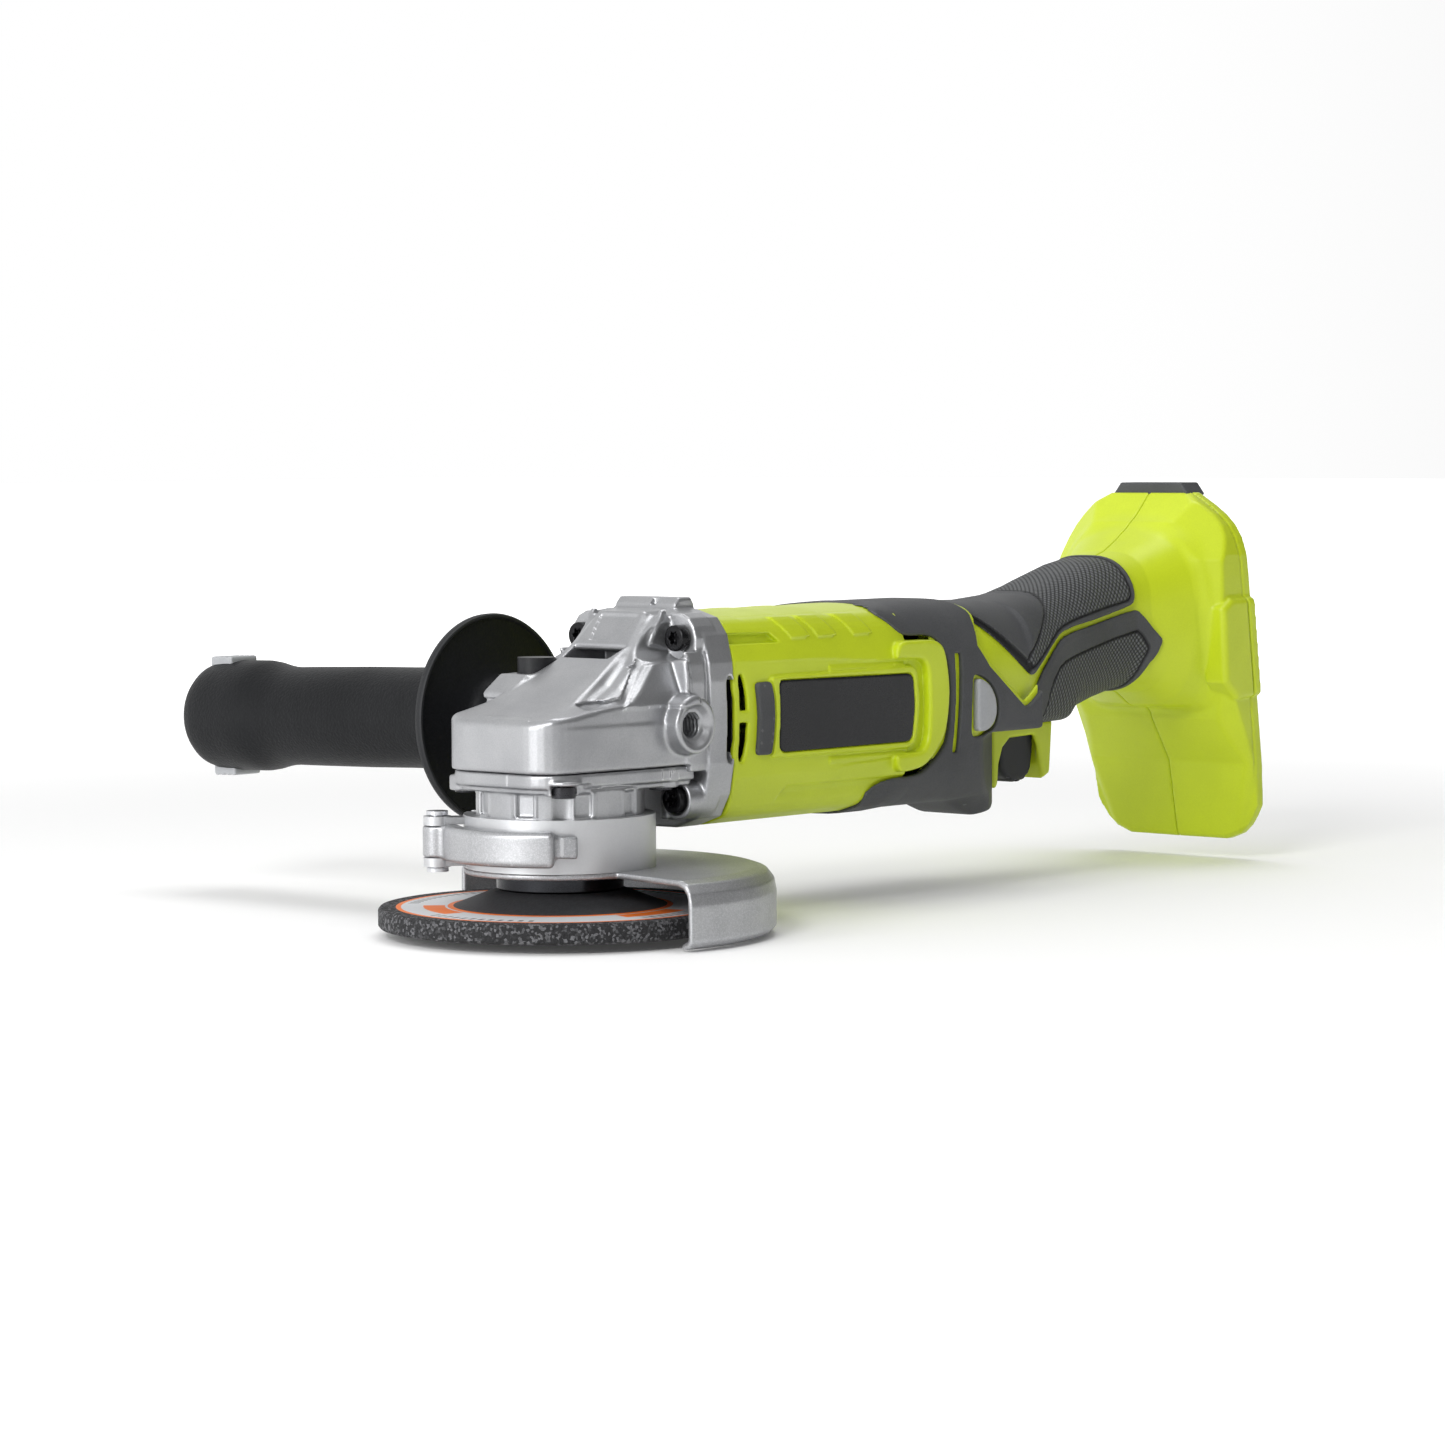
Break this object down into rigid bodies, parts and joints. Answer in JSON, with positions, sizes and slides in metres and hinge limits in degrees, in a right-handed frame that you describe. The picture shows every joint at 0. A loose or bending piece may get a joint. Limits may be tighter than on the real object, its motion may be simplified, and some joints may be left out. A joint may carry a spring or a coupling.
{
  "type": "cordless angle grinder",
  "caption": "Cordless angle grinder: cast gear head with a guarded depressed-centre wheel, side handle, barrel motor housing, trigger grip and battery foot.",
  "frame": {"origin": "on the spindle axis, on the face of the inner flange that the grinding wheel seats against", "axes": "+Z along the spindle, away from the wheel; +X along the body towards the battery foot; +Y towards the side handle"},
  "size_m": [0.3926, 0.2598, 0.1382],
  "materials": {
    "cast_head": "fine satin die casting, bead blasted",
    "guard_sheet": "satin silver",
    "lime_shell": "lime green moulding, fine matte grain",
    "grey_rubber": "dark grey soft overmould",
    "gloss_black": "gloss black plate",
    "black_plastic": "black moulding",
    "trigger_black": "black moulding with finger ribs",
    "handle_black": "black moulding with a pebbled grain",
    "button_grey": "light grey moulding",
    "black_screw": "black oxide screws",
    "bright_steel": "ground steel",
    "plated_steel": "zinc plated steel",
    "dark_steel": "dark polished steel",
    "gear_steel": "hardened steel, oiled",
    "spring_steel": "spring wire",
    "abrasive": "coarse bonded abrasive with a printed paper ring, left without text",
    "magnet": "ferrite",
    "lamination": "stacked steel laminations",
    "copper_wire": "enamelled copper",
    "brass_trim": "pressed brass",
    "carbon": "carbon brush",
    "seal_rubber": "black rubber",
    "board": "green circuit board"
  },
  "bodies": {
    "housing": {"gear_case": "cast_head", "bearing_cover": "cast_head", "cover_screws": "black_screw", "case_screws": "black_screw", "motor_housing": "lime_shell", "housing_badges": "gloss_black", "housing_pads": "grey_rubber", "rear_shell_left": "lime_shell", "rear_shell_right": "lime_shell", "shell_screws": "black_screw", "overmold": "grey_rubber", "grip_top": "grey_rubber", "grip_bottom": "grey_rubber", "foot_bumper": "grey_rubber", "motor_can": "plated_steel", "field_magnets": "magnet", "motor_end_cap": "black_plastic", "brush_holders": "brass_trim", "brushes": "carbon", "brush_springs": "spring_steel", "front_motor_bearing": "bright_steel", "rear_motor_bearing": "bright_steel", "air_baffle": "black_plastic", "lower_spindle_bearing": "bright_steel", "upper_spindle_bearing": "bright_steel", "spindle_seal": "seal_rubber", "switch_body": "black_plastic", "control_board": "board", "terminal_block": "black_plastic", "terminal_blades": "brass_trim", "trigger_spring": "spring_steel", "lock_off_spring": "spring_steel", "spindle_lock_spring": "spring_steel"},
    "spindle_unit": {"spindle": "bright_steel", "driven_gear": "gear_steel", "gear_nut": "plated_steel", "inner_flange": "dark_steel", "grinding_wheel": "abrasive", "wheel_nut": "dark_steel"},
    "rotor": {"motor_shaft": "bright_steel", "armature_core": "lamination", "armature_windings": "copper_wire", "commutator": "copper_wire", "cooling_fan": "black_plastic", "pinion": "gear_steel"},
    "guard": {"guard_shell": "guard_sheet", "guard_collar": "guard_sheet", "lever_pin": "plated_steel", "clamp_bolt": "plated_steel"},
    "guard_lever": {"clamp_lever": "guard_sheet"},
    "trigger": {"trigger": "trigger_black"},
    "lock_off": {"lock_off_button": "button_grey"},
    "spindle_lock": {"spindle_lock_button": "black_plastic"},
    "side_handle": {"handle_stud": "plated_steel", "handle_grip": "handle_black", "handle_cap": "button_grey"}
  },
  "joints": [
    {"name": "spindle_spin", "type": "hinge", "parent": "housing", "child": "spindle_unit", "pos_m": [0, 0, 0.03], "axis": [0, 0, 1], "continuous": true},
    {"name": "rotor_spin", "type": "hinge", "parent": "housing", "child": "rotor", "pos_m": [0.03, 0, 0.0515], "axis": [1, 0, 0], "continuous": true},
    {"name": "guard_turn", "type": "hinge", "parent": "housing", "child": "guard", "pos_m": [0, 0, 0.015], "axis": [0, 0, 1], "range_deg": [-90, 90]},
    {"name": "lever_swing", "type": "hinge", "parent": "guard", "child": "guard_lever", "pos_m": [-0.0286, 0.0256, 0.0154], "axis": [0, 0, -1], "range_deg": [0, 100]},
    {"name": "trigger_press", "type": "slide", "parent": "housing", "child": "trigger", "axis": [0, 0, 1], "range_m": [0, 0.005], "stiffness_N_per_m": 400, "deforming": ["trigger_spring"]},
    {"name": "lock_off_press", "type": "slide", "parent": "housing", "child": "lock_off", "axis": [0, 1, 0], "range_m": [-0.003, 0.003], "stiffness_N_per_m": 300},
    {"name": "spindle_lock_press", "type": "slide", "parent": "housing", "child": "spindle_lock", "axis": [0, 0, -1], "range_m": [0, 0.004], "stiffness_N_per_m": 300, "deforming": ["spindle_lock_spring"]},
    {"name": "side_handle_unscrew", "type": "slide", "parent": "housing", "child": "side_handle", "axis": [0, 0.9996, -0.0279], "range_m": [0, 0.014]}
  ],
  "couplings": [
    {"joint": "rotor_spin", "follows": "spindle_spin", "ratio": 3}
  ]
}
